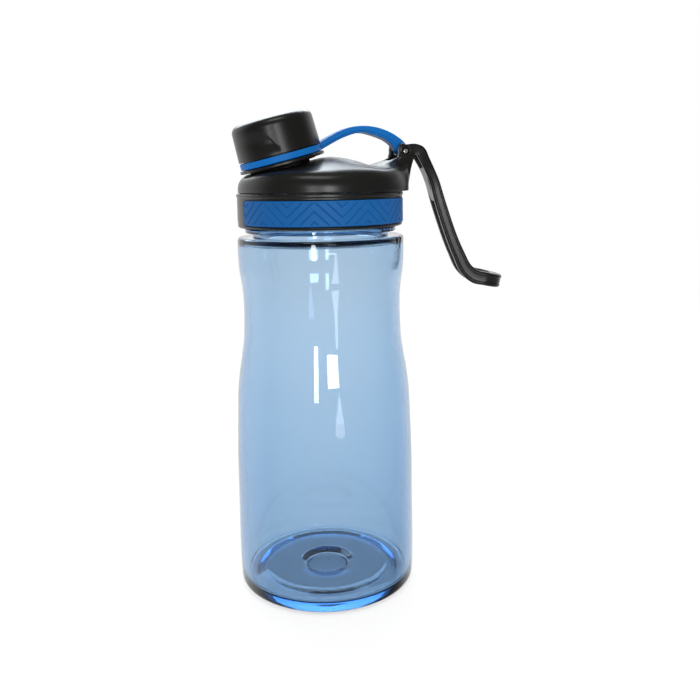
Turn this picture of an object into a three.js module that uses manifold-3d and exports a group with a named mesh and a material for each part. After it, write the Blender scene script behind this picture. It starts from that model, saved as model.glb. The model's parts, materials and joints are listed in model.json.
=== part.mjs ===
// A sports bottle: clear body, screw lid, tethered spout cap and a hinged carry loop.
// Millimetres, +Z up. The origin is the middle of the base, on the plane the bottle stands on.
// The spout leans towards -X and the hinge is at +X.
import * as THREE from 'three';
import { mergeVertices } from 'three/addons/utils/BufferGeometryUtils.js';
import Module from 'manifold-3d';

const wasm = await Module();
wasm.setup();

// Driving dimensions
const gap = 0.3;                 // clearance between pieces that meet
const wall = 2.8;                // bottle wall
const shoulderZ = 174;           // flat top of the bottle's shoulder
const shoulderR = 40.8;
const baseR = 43.5;
const neckR = 33.2;              // outside of the neck
const neckBore = 30.4;
const neckTop = 193;
const threadLead = 6;            // both threads of the big lid, one start, right-handed
const threadTurns = 1.15;
const threadStartZ = 180.2;
const collarR = 40.4;
const collarBottom = 178.8;
const collarTop = 195;
const bandBottom = 180.4;
const bandTop = 192.1;
const bandHalfAngle = 76;        // degrees each side of -Y, and of +Y
const domeBottom = collarTop + gap;
const domeR = 39.9;
const hornReach = 2.5;           // how far the dome bulges past its circle on the hinge side
const spoutTilt = 14.2;          // degrees, towards -X
const spoutFoot = new THREE.Vector3(-19.4, 0, 213.9);   // on the spout axis, at the cap's lower edge
const flangeR = 20.8;
const tubeR = 13.1;
const tubeBore = 10.9;
const tubeTop = 9;               // heights along the spout axis are measured from spoutFoot
const capR = 20.2;
const capHeight = 17.8;
const ringHeight = 3.2;
const hinge = new THREE.Vector3(42.2, 0, 214.6);
const pinR = 1.25;
const pinHalf = 8.2;
const earHalf = 8.6;             // outside of the two ears
const slotHalf = 5.9;            // half the space between the ears
const strapHalf = 4.8;
const strapRootHalf = 3.3;
const cheekInner = 3.7;          // the loop's two cheeks stand each side of the strap
const cheekOuter = 5.5;
const cheekR = 4;
const armSpread = 7.4;           // from the loop's middle plane to the middle of an arm
const armHalf = 2.1;
const loopTurn = 0.2586;         // sideways slope of the loop's arms as they hang
const turnFrom = 51;             // the arms start to turn sideways past this x
const turnEase = 3;              // and do so over about this length
const boreLength = 24;           // cutters for the pin reach past every piece on it
const pinSlack = 0.2;            // the pin's hole is this much wider in radius
const pinRecess = 0.55;          // and the sunk ends this much

// ---- solids ----

function toSolid(geometry) {
  const bare = geometry.clone();
  bare.deleteAttribute('normal');
  bare.deleteAttribute('uv');
  const merged = mergeVertices(bare, 1e-4);
  const numProp = 3;
  const vertProperties = new Float32Array(merged.attributes.position.array);
  const triVerts = new Uint32Array(merged.index.array);
  return new wasm.Manifold(new wasm.Mesh({ numProp, vertProperties, triVerts }));
}

function toGeometry(solid) {
  const mesh = solid.getMesh();
  const geometry = new THREE.BufferGeometry();
  geometry.setAttribute('position', new THREE.BufferAttribute(new Float32Array(mesh.vertProperties), 3));
  geometry.setIndex(new THREE.BufferAttribute(new Uint32Array(mesh.triVerts), 1));
  geometry.computeVertexNormals();
  return geometry;
}

function signedVolume(geometry) {
  const p = geometry.attributes.position;
  const index = geometry.index.array;
  const [a, b, c] = [new THREE.Vector3(), new THREE.Vector3(), new THREE.Vector3()];
  let sum = 0;
  for (let i = 0; i < index.length; i += 3) {
    a.fromBufferAttribute(p, index[i]);
    b.fromBufferAttribute(p, index[i + 1]);
    c.fromBufferAttribute(p, index[i + 2]);
    sum += a.dot(b.cross(c)) / 6;
  }
  return sum;
}

// Turns every face over when the surface was wound inside out.
function facingOut(geometry) {
  if (signedVolume(geometry) >= 0) return geometry;
  const index = geometry.index.array;
  for (let i = 0; i < index.length; i += 3) {
    [index[i], index[i + 1]] = [index[i + 1], index[i]];
  }
  geometry.computeVertexNormals();
  return geometry;
}

// A body turned about Z from [radius, height] pairs.
// The outline starts and ends on the axis or closes on itself.
function turned(outline, segments = 48) {
  const points = outline.map(([r, z]) => new THREE.Vector2(r, z));
  const onAxis = outline[0][0] === 0 && outline.at(-1)[0] === 0;
  if (!onAxis) points.push(points[0].clone());
  return facingOut(new THREE.LatheGeometry(points, segments).rotateX(Math.PI / 2));
}

// An outline of [x, z] pairs in the middle plane, given a thickness from y = from to y = to.
function plate(outline, from, to) {
  const shape = new THREE.Shape(outline.map(([x, z]) => new THREE.Vector2(x, z)));
  const geometry = new THREE.ExtrudeGeometry(shape, { depth: to - from, bevelEnabled: false });
  geometry.rotateX(Math.PI / 2).translate(0, to, 0);
  const bare = geometry.clone();
  bare.deleteAttribute('normal');
  bare.deleteAttribute('uv');
  return facingOut(mergeVertices(bare, 1e-5));
}

function cylinderAcross(radius, from, to, segments = 24) {
  const geometry = new THREE.CylinderGeometry(radius, radius, to - from, segments);
  return geometry.translate(hinge.x, (from + to) / 2, hinge.z);
}

// The hole for the hinge pin, right through.
function pinBore() {
  return toSolid(cylinderAcross(pinR + pinSlack, -boreLength / 2, boreLength / 2));
}

// Joins rings of points into one closed skin, with a fan over each end.
function skin(rings) {
  const count = rings[0].length;
  const positions = [];
  const index = [];
  rings.forEach((ring) => ring.forEach((p) => positions.push(p.x, p.y, p.z)));
  for (let i = 0; i + 1 < rings.length; i += 1) {
    for (let j = 0; j < count; j += 1) {
      const [a, b] = [i * count + j, i * count + ((j + 1) % count)];
      index.push(a, b, a + count, b, b + count, a + count);
    }
  }
  [0, rings.length - 1].forEach((end, side) => {
    const middle = rings[end].reduce((sum, p) => sum.add(p), new THREE.Vector3()).divideScalar(count);
    positions.push(middle.x, middle.y, middle.z);
    const tip = positions.length / 3 - 1;
    for (let j = 0; j < count; j += 1) {
      const [a, b] = [end * count + j, end * count + ((j + 1) % count)];
      index.push(...(side ? [a, b, tip] : [b, a, tip]));
    }
  });
  const geometry = new THREE.BufferGeometry();
  geometry.setAttribute('position', new THREE.Float32BufferAttribute(positions, 3));
  geometry.setIndex(index);
  geometry.computeVertexNormals();
  return facingOut(geometry);
}

// One thread tooth run round a helix. It fades into its wall over the first and last eighth of a turn.
function thread({ rootR, crestR, rootHalf, crestHalf, lead, turns, startZ, stepsPerTurn = 30 }) {
  const steps = Math.round(turns * stepsPerTurn);
  const rings = [];
  for (let i = 0; i <= steps; i += 1) {
    const turn = (i / steps) * turns;
    const fade = Math.min(1, 8 * turn, 8 * (turns - turn));
    const tip = rootR + (crestR - rootR) * (0.15 + 0.85 * fade);
    const z = startZ + lead * turn;
    const angle = 2 * Math.PI * turn;
    const place = (r, dz) => new THREE.Vector3(r * Math.cos(angle), r * Math.sin(angle), z + dz);
    const [low, high] = [place(rootR, -rootHalf), place(rootR, rootHalf)];
    rings.push([low, place(tip, -crestHalf), place(tip, crestHalf), high]);
  }
  return skin(rings);
}

function smoothStep(from, to, x) {
  return THREE.MathUtils.smoothstep(x, from, to);
}

// Points of a smooth curve through [x, z] pairs.
function smooth(pairs, divisions) {
  const curve = new THREE.SplineCurve(pairs.map(([x, z]) => new THREE.Vector2(x, z)));
  return curve.getPoints(divisions).map((p) => [p.x, p.y]);
}

function arc(cx, cz, radius, fromDegrees, toDegrees, steps) {
  return Array.from({ length: steps + 1 }, (_, i) => {
    const a = THREE.MathUtils.degToRad(fromDegrees + ((toDegrees - fromDegrees) * i) / steps);
    return [cx + radius * Math.cos(a), cz + radius * Math.sin(a)];
  });
}

// Puts a shape modelled along +Z about the origin onto the leaning spout axis.
function ontoSpout(geometry) {
  const lean = new THREE.Matrix4().makeRotationY(-THREE.MathUtils.degToRad(spoutTilt));
  return geometry.applyMatrix4(lean.setPosition(spoutFoot));
}

// ---- bottle ----

function bottleBody() {
  const side = [
    [baseR + 0.1, 3.2], [43.9, 8], [44.1, 16], [44, 42], [43.95, 68], [43.4, 84], [42.8, 98], [41.2, 111],
    [39.6, 122], [38.8, 132], [38.8, 143], [39.3, 151], [40.4, 158.5], [shoulderR, 166],
  ];
  const inside = side.filter(([, z]) => z > 9).map(([r, z]) => [r - wall, z]).reverse();
  const outline = [
    [0, 0], [10.4, 0], [12, 2.6], [31.6, 2.6], [35.6, 0], [baseR - 3, 0],
    ...arc(baseR - 3, 3, 3, -60, -20, 2),
    ...side,
    ...arc(shoulderR - 1.6, shoulderZ - 1.6, 1.6, 0, 90, 2),
    [neckR, shoulderZ], [neckR, 176.2], [37, 176.4], [37, 178.2], [neckR, 178.4],
    [neckR, neckTop], [neckBore, neckTop], [neckBore, 171.2], [36.6, 171], [38, 169.4],
    ...inside,
    [40.6, 8], [38.4, 5.8], [31, 5.6], [12.8, 5.6], [10.4, 3.6], [0, 3.6],
  ];
  const neckThread = thread({
    rootR: neckR - 0.3, crestR: neckR + 1.4, rootHalf: 1.4, crestHalf: 0.6,
    lead: threadLead, turns: threadTurns, startZ: threadStartZ + 1.5,
  });
  return toGeometry(toSolid(turned(outline, 36)).add(toSolid(neckThread)));
}

// ---- lid ----

// A wedge about Z that takes in the given angle each side of the direction heading (degrees from +X).
function wedge(heading, halfAngle, bottom, top) {
  const shape = new THREE.Shape();
  const reach = 60;
  shape.moveTo(0, 0);
  for (let i = 0; i <= 8; i += 1) {
    const a = THREE.MathUtils.degToRad(heading - halfAngle + (2 * halfAngle * i) / 8);
    shape.lineTo(reach * Math.cos(a), reach * Math.sin(a));
  }
  const geometry = new THREE.ExtrudeGeometry(shape, { depth: top - bottom, bevelEnabled: false });
  return geometry.translate(0, 0, bottom);
}

function bandRing(halfAngle, inner, outer, bottom, top, heading) {
  const ring = turned([[inner, bottom], [outer, bottom], [outer, top], [inner, top]], 60);
  return toSolid(ring).intersect(toSolid(wedge(heading, halfAngle, bottom - 1, top + 1)));
}

function gripCollar() {
  const ring = turned([
    [35.4, collarBottom], [collarR - 0.6, collarBottom], [collarR, collarBottom + 0.6],
    [collarR, collarTop - 1.4], [collarR + 0.3, collarTop - 1], [collarR + 0.3, collarTop - 0.2],
    [collarR + 0.1, collarTop], [35.4, collarTop],
  ], 60);
  const innerThread = thread({
    rootR: 35.7, crestR: 33.7, rootHalf: 1.2, crestHalf: 0.5,
    lead: threadLead, turns: threadTurns, startZ: threadStartZ - 0.35,
  });
  let solid = toSolid(ring).add(toSolid(innerThread));
  [-90, 90].forEach((heading) => {
    const pocket = bandRing(bandHalfAngle + 0.4, 38.9, 45, bandBottom - gap, bandTop + gap, heading);
    solid = solid.subtract(pocket);
  });
  return toGeometry(solid);
}

function gripBand(heading) {
  return toGeometry(bandRing(bandHalfAngle, 38.9 + gap, collarR + 0.1, bandBottom, bandTop, heading));
}

function neckSeal() {
  return turned([[30.9, 193.3], [34.6, 193.3], [34.9, 193.6], [34.9, 194.8], [34.7, 195], [30.9, 195]], 32);
}

// Height of the dome's crest over the middle plane.
const crest = new THREE.SplineCurve([
  [-44, 202.4], [-33.2, 204.6], [-18, 207.6], [-4, 210.8], [3, 212.2], [8.5, 212.1], [15.7, 210.5],
  [20.9, 208.6], [26, 207.6], [34, 207.4], [44, 205],
].map(([x, z]) => new THREE.Vector2(x, z)));
const crestPoints = crest.getPoints(160);

function crestHeight(x) {
  const i = crestPoints.findIndex((p) => p.x >= x);
  if (i <= 0) return crestPoints[0].y;
  const [a, b] = [crestPoints[i - 1], crestPoints[i]];
  return a.y + ((b.y - a.y) * (x - a.x)) / (b.x - a.x);
}

function domeSkin() {
  const segments = 48;
  const wallTop = domeBottom + 1.2;
  const ringAt = (share, bottomRing) => Array.from({ length: segments }, (_, j) => {
    const a = (2 * Math.PI * j) / segments;
    const radius = domeR + hornReach * smoothStep(0.3, 1, Math.cos(a));
    const [x, y] = [share * radius * Math.cos(a), share * radius * Math.sin(a)];
    const fall = THREE.MathUtils.lerp(1 / 300, 1 / 55, smoothStep(-4, 26, x));
    const top = Math.max(crestHeight(x) - fall * y * y, 201);
    const z = bottomRing ? domeBottom : wallTop + (top - wallTop) * (1 - share ** 8) ** 0.42;
    return new THREE.Vector3(x, y, z);
  });
  const shares = [1, 0.99, 0.965, 0.92, 0.85, 0.74, 0.6, 0.44, 0.28, 0.12];
  return skin([ringAt(1, true), ...shares.map((share) => ringAt(share, false))]);
}

// The foot of the horn, from the dome's width up to the ears: [height, middle x, half length, half width].
function hornSkin() {
  const levels = [
    [198, 16, 25.5, 27], [200.5, 21.5, 21.2, 22], [203, 27, 16.6, 17.5], [205.5, 32, 12.4, 13.5],
    [208, 36.3, 8.8, 10.8], [210.5, 40, 5.6, 9.2], [212, 42.4, 3.6, 8.6],
  ];
  return skin(levels.map(([z, middle, half, halfWide]) => Array.from({ length: 32 }, (_, j) => {
    const a = (2 * Math.PI * j) / 32;
    const [c, s] = [Math.cos(a), Math.sin(a)];
    const square = (v) => Math.sign(v) * Math.abs(v) ** 0.8;
    return new THREE.Vector3(middle + half * square(c), halfWide * square(s), z);
  })));
}

const earOutline = [
  [31, 204], [34, 206.6], [37.2, 209.2], [38.9, 211.6], [38.7, 215.8], [39, 217.5], [40.2, 218.5],
  [43.3, 217.8], [45, 216.4], [46.8, 213.6], [46.7, 212.6], [45, 207.2], [43.3, 202.2], [42.4, 197],
  [31, 197],
];

function lidDome() {
  const cavity = turned([
    [0, domeBottom - 1], [30.2, domeBottom - 1], [30.2, 200.4], [28, 202.4], [22, 203.6], [0, 203.6],
  ]);
  const holeR = tubeR + gap + 0.1;
  const spoutHole = ontoSpout(turned([[0, -17], [holeR, -17], [holeR, 0], [0, 0]], 40));
  const slot = plate([
    [34, 209.4], [40, 209.2], [50, 209.2], [50, 222], [34, 222],
  ], -slotHalf, slotHalf);
  let solid = toSolid(domeSkin())
    .add(toSolid(hornSkin()))
    .add(toSolid(plate(earOutline, -earHalf, earHalf)))
    .subtract(toSolid(cavity))
    .subtract(toSolid(spoutHole))
    .subtract(toSolid(slot))
    .subtract(pinBore());
  const sunk = pinHalf - pinSlack;
  [[-boreLength / 2, -sunk], [sunk, boreLength / 2]].forEach(([from, to]) => {
    solid = solid.subtract(toSolid(cylinderAcross(pinR + pinRecess, from, to)));
  });
  return toGeometry(solid);
}

function hingePin() {
  return cylinderAcross(pinR, -pinHalf, pinHalf, 28);
}

function carriedSpout() {
  const tube = turned([
    [tubeBore, -10], [tubeR, -10], [tubeR, -5.6], [16.4, -5.6], [16.6, -5], [flangeR - 0.5, -5],
    [flangeR, -4.6], [flangeR, -3.9], [flangeR - 0.4, -3.6], [tubeR, -3.6], [tubeR, tubeTop - 0.5],
    [tubeR - 0.5, tubeTop], [tubeBore, tubeTop],
  ], 36);
  const tooth = thread({
    rootR: tubeR - 0.2, crestR: tubeR + 0.7, rootHalf: 0.8, crestHalf: 0.35,
    lead: 3, turns: 1.3, startZ: 1.4, stepsPerTurn: 24,
  });
  return ontoSpout(toGeometry(toSolid(tube).add(toSolid(tooth))));
}

// ---- cap and tether ----

function capInsert() {
  const cup = turned([
    [16.9, -3.3], [17.7, -3.3], [17.9, -3.1], [17.9, -2.2], [18.4, -1.9], [18.4, -1.3], [17.9, -1],
    [17.9, 0.2], [18.1, 0.8], [18.1, 11.3], [17.6, 11.8], [0, 11.8], [0, 10.5], [16.5, 10.5],
    [16.5, 0.4], [16.9, -0.4],
  ], 36);
  const tooth = thread({
    rootR: 16.7, crestR: 15.7, rootHalf: 0.8, crestHalf: 0.35,
    lead: 3, turns: 1.1, startZ: 4.6, stepsPerTurn: 24,
  });
  return ontoSpout(toGeometry(toSolid(cup).add(toSolid(tooth))));
}

function capShell() {
  const fillet = 3.7;
  const shell = turned([
    [0, 16], [15, 16], [17.6, 14.6], [18.4, 12.6], [18.4, 0.3], [capR - 0.2, 0.3], [capR, 0.6],
    ...arc(capR - 0.6 - fillet, capHeight - fillet, fillet, 0, 90, 4), [0, capHeight],
  ], 48);
  return ontoSpout(shell);
}

function capSeal() {
  return ontoSpout(turned([[0, 9.3], [15.4, 9.3], [15.6, 9.5], [15.6, 10.1], [15.4, 10.2], [0, 10.2]], 32));
}

// The ring round the cap's foot, the arched strap and its knuckle on the hinge pin, moulded in one.
function tetherStrap() {
  const ring = ontoSpout(turned([
    [18.2, -ringHeight], [19.7, -ringHeight], [20, -ringHeight + 0.3], [20, -0.3], [19.7, -0.1],
    [18.2, -0.1], [18.2, -0.7], [18.75, -1], [18.75, -2.2], [18.2, -2.5],
  ], 40));
  const upper = [
    [-1.3, 218.2], [3.4, 221.4], [7.1, 223.4], [14.4, 226.3], [22.9, 227.1], [31.4, 225.7], [38.9, 222.4],
    [44, 218.4],
  ];
  const lower = [
    [38.6, 214.4], [36.6, 218.3], [31.3, 221.3], [22.8, 223.7], [17.5, 223.4], [10.2, 220.9], [4, 217.6],
    [-0.5, 215.6],
  ];
  const arch = [...smooth(upper, 16), [44.6, 214.6], ...smooth(lower, 16)];
  const wide = toSolid(plate([[-6, 205], [29, 205], [29, 232], [-6, 232]], -strapHalf, strapHalf));
  const rootSpace = plate([[28, 205], [50, 205], [50, 232], [28, 232]], -strapRootHalf, strapRootHalf);
  const narrow = toSolid(rootSpace);
  const band = toSolid(plate(arch, -strapHalf, strapHalf));
  const knuckle = toSolid(cylinderAcross(3.9, -strapRootHalf, strapRootHalf));
  const inside = toSolid(ontoSpout(turned([[0, -6], [19, -6], [19, 24], [0, 24]], 40)));
  const strap = band.intersect(wide).add(band.intersect(narrow)).subtract(inside);
  return toGeometry(toSolid(ring).add(strap).add(knuckle).subtract(pinBore()));
}

// ---- carry loop ----

// Stations down one arm: [x, z, sideways offset, half width, depth].
const armStations = [
  [42.2, 214.7, 4.6, 0.9, 6.4], [45.2, 215.4, 4.6, 0.9, 5.6], [48.3, 215.8, 4.6, 0.9, 5],
  [51.6, 214.2, 4.75, 1, 5.4], [54, 210.2, 5.3, 1.3, 5], [56.4, 205.2, 6.2, 1.7, 4.8],
  [58.7, 199.4, 7, 2, 4.7], [61.6, 189.2, armSpread, armHalf, 4.8], [67, 172.3, armSpread, armHalf, 5],
  [70.8, 162.6, armSpread, armHalf, 5.4], [74.4, 155, armSpread, armHalf, 6],
  [78.6, 150.9, armSpread, 2.2, 6.6], [83, 149.4, armSpread, 2.4, 6.4],
];

// Where a point of the loop at x, offset sideways by y, stands once the arms have turned sideways.
function loopPoint(x, y, z) {
  const beyond = Math.max(0, x - turnFrom);
  const ramp = 1 - Math.exp(-beyond / turnEase);
  return new THREE.Vector3(x + loopTurn * ramp * y, y - loopTurn * (beyond - turnEase * ramp), z);
}

// Eight corners of an arm's section, from its half width and half depth.
function armSection(h, d) {
  const corner = Math.min(0.8, h * 0.5);
  return [
    [h, d - corner], [h - corner, d], [corner - h, d], [-h, d - corner],
    [-h, corner - d], [corner - h, -d], [h - corner, -d], [h, corner - d],
  ];
}

function carryLoop() {
  const along = (points) => new THREE.CatmullRomCurve3(points, false, 'centripetal');
  const line = along(armStations.map(([x, z]) => new THREE.Vector3(x, 0, z)));
  const sizes = along(armStations.map(([, , y, half, depth]) => new THREE.Vector3(y, half, depth)));
  const down = 26;
  const far = Array.from({ length: down + 1 }, (_, i) => {
    const slope = line.getTangent(i / down);
    const size = sizes.getPoint(i / down);
    const normal = [-slope.z, slope.x];
    return { at: line.getPoint(i / down), y: size.x, half: size.y, depth: size.z, normal };
  });
  const near = far.map((s) => ({ ...s, y: -s.y }));
  const last = far.at(-1);
  const heading = new THREE.Vector3(last.normal[1], 0, -last.normal[0]);
  const bendSteps = 10;
  const bend = Array.from({ length: bendSteps - 1 }, (_, i) => {
    const a = -Math.PI / 2 + (Math.PI * (i + 1)) / bendSteps;
    const at = last.at.clone().addScaledVector(heading, last.y * Math.cos(a));
    return { ...last, y: last.y * Math.sin(a), at };
  });
  const path = [...near, ...bend, ...far.slice().reverse()];
  const centres = path.map((s) => loopPoint(s.at.x, s.y, s.at.z));
  const rings = path.map((s, i) => {
    const before = centres[Math.max(i - 1, 0)];
    const forward = centres[Math.min(i + 1, path.length - 1)].clone().sub(before).normalize();
    const deep = new THREE.Vector3(s.normal[0], 0, s.normal[1]);
    const wide = forward.clone().cross(deep).normalize();
    return armSection(s.half, s.depth / 2)
      .map(([w, n]) => centres[i].clone().addScaledVector(wide, w).addScaledVector(deep, n));
  });
  let solid = toSolid(skin(rings));
  [[-cheekOuter, -cheekInner], [cheekInner, cheekOuter]].forEach(([from, to]) => {
    solid = solid.add(toSolid(cylinderAcross(cheekR, from, to)));
  });
  const web = plate([[56.3, 198.8], [59.6, 200], [58, 205.4], [54.8, 204]], -6.4, 5);
  return toGeometry(solid.add(toSolid(web)).subtract(pinBore()));
}

// ---- assembly ----

const finishes = {
  clearBlue: { color: 0x9cc4e8, roughness: 0.06, metalness: 0 },
  black: { color: 0x24211f, roughness: 0.42, metalness: 0 },
  bandBlue: { color: 0x1a5fa8, roughness: 0.5, metalness: 0 },
  strapBlue: { color: 0x0070c0, roughness: 0.45, metalness: 0 },
  steel: { color: 0xc8c6c0, roughness: 0.25, metalness: 1 },
  silicone: { color: 0xd8dde0, roughness: 0.6, metalness: 0 },
};

const group = new THREE.Group();

function addPart(name, geometry, finish) {
  const mesh = new THREE.Mesh(geometry, new THREE.MeshStandardMaterial(finishes[finish]));
  mesh.name = name;
  group.add(mesh);
}

addPart('bottle_body', bottleBody(), 'clearBlue');
addPart('neck_seal', neckSeal(), 'silicone');
addPart('grip_collar', gripCollar(), 'black');
addPart('grip_band_front', gripBand(-90), 'bandBlue');
addPart('grip_band_rear', gripBand(90), 'bandBlue');
addPart('lid_dome', lidDome(), 'black');
addPart('spout', carriedSpout(), 'black');
addPart('hinge_pin', hingePin(), 'steel');
addPart('tether_strap', tetherStrap(), 'strapBlue');
addPart('cap_insert', capInsert(), 'black');
addPart('cap_shell', capShell(), 'black');
addPart('cap_seal', capSeal(), 'silicone');
addPart('carry_loop', carryLoop(), 'black');

export default group;
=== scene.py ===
import json
import math
import bpy
import numpy as np
from mathutils import Matrix


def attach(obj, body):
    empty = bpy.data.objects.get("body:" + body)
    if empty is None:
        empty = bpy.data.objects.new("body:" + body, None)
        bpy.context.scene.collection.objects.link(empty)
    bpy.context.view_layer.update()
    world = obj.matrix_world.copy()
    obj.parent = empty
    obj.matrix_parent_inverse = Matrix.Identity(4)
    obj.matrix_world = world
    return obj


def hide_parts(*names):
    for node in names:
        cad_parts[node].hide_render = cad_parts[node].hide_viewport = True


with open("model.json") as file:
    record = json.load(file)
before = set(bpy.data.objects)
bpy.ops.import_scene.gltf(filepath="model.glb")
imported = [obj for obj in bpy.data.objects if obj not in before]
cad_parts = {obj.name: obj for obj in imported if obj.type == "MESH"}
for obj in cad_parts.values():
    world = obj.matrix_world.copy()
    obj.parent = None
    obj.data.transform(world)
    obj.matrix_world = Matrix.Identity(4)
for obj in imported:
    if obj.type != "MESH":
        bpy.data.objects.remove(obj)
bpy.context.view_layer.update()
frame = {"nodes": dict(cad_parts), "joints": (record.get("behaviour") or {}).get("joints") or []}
joints = {joint["name"]: joint for joint in frame["joints"]}
mm = 0.001
hinge = np.array(joints["tether_swing"]["pos_m"]) / mm        # the pin that carries strap and loop
spoutFoot = np.array(joints["cap_turn"]["pos_m"]) / mm        # on the spout's axis, at the cap's lower edge
spoutAxis = np.array(joints["cap_turn"]["axis"])
scene = bpy.context.scene
print("frame loaded:", len(frame["nodes"]), "nodes")


# Camera, light and floor

camera = {"distance": 390, "azimuth": -14.2, "eye": 202.3, "yaw": 2.09, "pitch": 6.5, "roll": 0.95,
          "lens": 40.64, "shift": -0.1185}


def makeCamera(c):
    azimuth, yaw, pitch, roll = (math.radians(c[k]) for k in ("azimuth", "yaw", "pitch", "roll"))
    ahead = np.array([-math.sin(azimuth), math.cos(azimuth), 0])
    side = np.array([math.cos(azimuth), math.sin(azimuth), 0])
    place = -c["distance"] * ahead + [0, 0, c["eye"]]
    ahead, side = ahead * math.cos(yaw) + side * math.sin(yaw), side * math.cos(yaw) - ahead * math.sin(yaw)
    up = np.array([0, 0, 1])
    ahead, up = ahead * math.cos(pitch) - up * math.sin(pitch), up * math.cos(pitch) + ahead * math.sin(pitch)
    side, up = side * math.cos(roll) - up * math.sin(roll), up * math.cos(roll) + side * math.sin(roll)
    data = bpy.data.cameras.new("camera")
    data.lens, data.sensor_width, data.shift_y = c["lens"], 36, c["shift"]
    data.clip_start, data.clip_end = 0.01, 50
    obj = bpy.data.objects.new("camera", data)
    scene.collection.objects.link(obj)
    facing = Matrix(np.stack([side, up, -ahead], 1).tolist()).to_4x4()
    obj.matrix_world = Matrix.Translation(place * mm) @ facing
    scene.camera = obj


# A light panel in metres and watts that the camera does not see. It faces from its place to its aim.
def softbox(name, place, aim, width, height, power, colour=(1, 1, 1)):
    data = bpy.data.lights.new(name, "AREA")
    data.shape, data.size, data.size_y = "RECTANGLE", width, height
    data.energy, data.color = power, colour
    obj = bpy.data.objects.new(name, data)
    scene.collection.objects.link(obj)
    back = np.array(place, float) - aim
    back /= np.linalg.norm(back)
    across = np.cross([0, 0, 1], back)
    across /= np.linalg.norm(across)
    turn = Matrix(np.stack([across, np.cross(back, across), back], 1).tolist()).to_4x4()
    obj.matrix_world = Matrix.Translation(place) @ turn
    obj.visible_camera = False


makeCamera(camera)
middle = np.array([0, 0, 0.12])
softbox("topBack", (0.1, 1.1, 1.15), middle, 1.5, 0.9, 22, (0.86, 0.94, 1))
softbox("overhead", (-0.2, -0.55, 1.35), middle, 0.7, 0.35, 3)
softbox("lowFront", (0.1, -1.1, 0.003), (0.099, -1.09, 5), 0.07, 1.5, 1.0)
softbox("leftFront", (-0.42, -0.95, 0.15), (0, 0, 0.2), 0.1, 0.26, 1.1)
softbox("loopFront", (-0.03, -0.95, 0.2), (0.06, 0, 0.19), 0.24, 0.14, 1.5)
scene.view_settings.view_transform = "Standard"


# Shader maths

# One output of a node. An input named i0, i1, ... is taken by its number, any other by its name.
class Wire:
    def __init__(self, tree, socket):
        self.tree, self.socket = tree, socket

    def node(self, kind, settings=None, out=0, **inputs):
        made = self.tree.nodes.new("ShaderNode" + kind)
        for key, value in (settings or {}).items():
            setattr(made, key, value)
        for key, value in inputs.items():
            numbered = key[0] == "i" and key[1:].isdigit()
            socket = made.inputs[int(key[1:]) if numbered else key]
            if isinstance(value, Wire):
                self.tree.links.new(value.socket, socket)
            else:
                socket.default_value = value
        return Wire(self.tree, made.outputs[out])

    def maths(self, operation, first, second=0.0, third=0.0):
        return self.node("Math", {"operation": operation}, i0=first, i1=second, i2=third)

    def __add__(self, other):
        return self.maths("ADD", self, other)

    def __radd__(self, other):
        return self.maths("ADD", other, self)

    def __sub__(self, other):
        return self.maths("SUBTRACT", self, other)

    def __rsub__(self, other):
        return self.maths("SUBTRACT", other, self)

    def __mul__(self, other):
        return self.maths("MULTIPLY", self, other)

    def __rmul__(self, other):
        return self.maths("MULTIPLY", other, self)

    def between(self, low, high):
        return self.node("MapRange", {"interpolation_type": "SMOOTHSTEP"}, i0=self, i1=low, i2=high)

    def noise(self, scale, detail=2.0, rough=0.5):
        return self.node("TexNoise", Vector=self, Scale=scale, Detail=detail, Roughness=rough)

    def mix(self, first, second):
        return self.node("Mix", {"data_type": "RGBA"}, out=2, i0=self, i6=first, i7=second)


def startMaterial(name):
    material = bpy.data.materials.new(name)
    material.use_nodes = True
    tree = material.node_tree
    shader = next(n for n in tree.nodes if n.type == "BSDF_PRINCIPLED")
    return material, shader, Wire(tree, tree.nodes.new("ShaderNodeTexCoord").outputs["Object"])


def feed(place, shader, socket, wire):
    place.tree.links.new(wire.socket, shader.inputs[socket])


# Moulded plastics and rubbers share this: a grain, slow changes of gloss, and faint handling marks.
def mouldedMaterial(name, look):
    material, shader, place = startMaterial(name)
    slow = place.noise(look["cloud"], 3.0)
    grain = place.noise(look["grainScale"], 2.0, 0.6)
    streaks = place.node("Mapping", Vector=place, Scale=(0.25, 1.0, 1.6))
    marks = streaks.noise(look["markScale"], 4.0, 0.7)
    rubbed = marks.between(0.6, 0.8)
    feed(place, shader, "Base Color", (slow * 0.7 + rubbed * 0.5).mix(look["colour"], look["lighter"]))
    feed(place, shader, "Roughness", look["rough"] + (slow - 0.5) * look["roughSpread"] + rubbed * 0.05)
    bump = place.node("Bump", Strength=look["grain"], Distance=look["grainDepth"], Height=grain)
    feed(place, shader, "Normal", bump)
    shader.inputs["IOR"].default_value = 1.5
    shader.inputs["Specular IOR Level"].default_value = look["specular"]
    return material


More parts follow.
